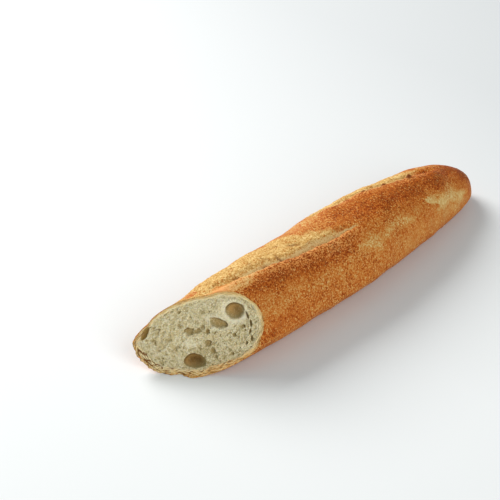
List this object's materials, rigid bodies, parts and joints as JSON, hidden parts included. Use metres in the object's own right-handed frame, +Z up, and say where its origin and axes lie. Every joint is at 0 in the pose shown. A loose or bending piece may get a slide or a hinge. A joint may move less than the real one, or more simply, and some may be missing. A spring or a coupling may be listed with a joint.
{
  "type": "half baguette",
  "caption": "Half a crusty baguette, cut across on a slant to show the airy crumb, with scored slashes on top and a rounded end.",
  "frame": {"origin": "middle of the bounding box in plan, at the height of the surface that the bread lies on", "axes": "+X along the loaf from the cut face to the rounded end, +Z up, +Y to the side whose slashes open"},
  "size_m": [0.312, 0.0686, 0.0525],
  "materials": {
    "crust": "dry baked crust, satin, golden to red-brown, cream in the slashes; the cut face is pale matt crumb"
  },
  "bodies": {
    "root": {"half_baguette": "crust"}
  },
  "joints": []
}
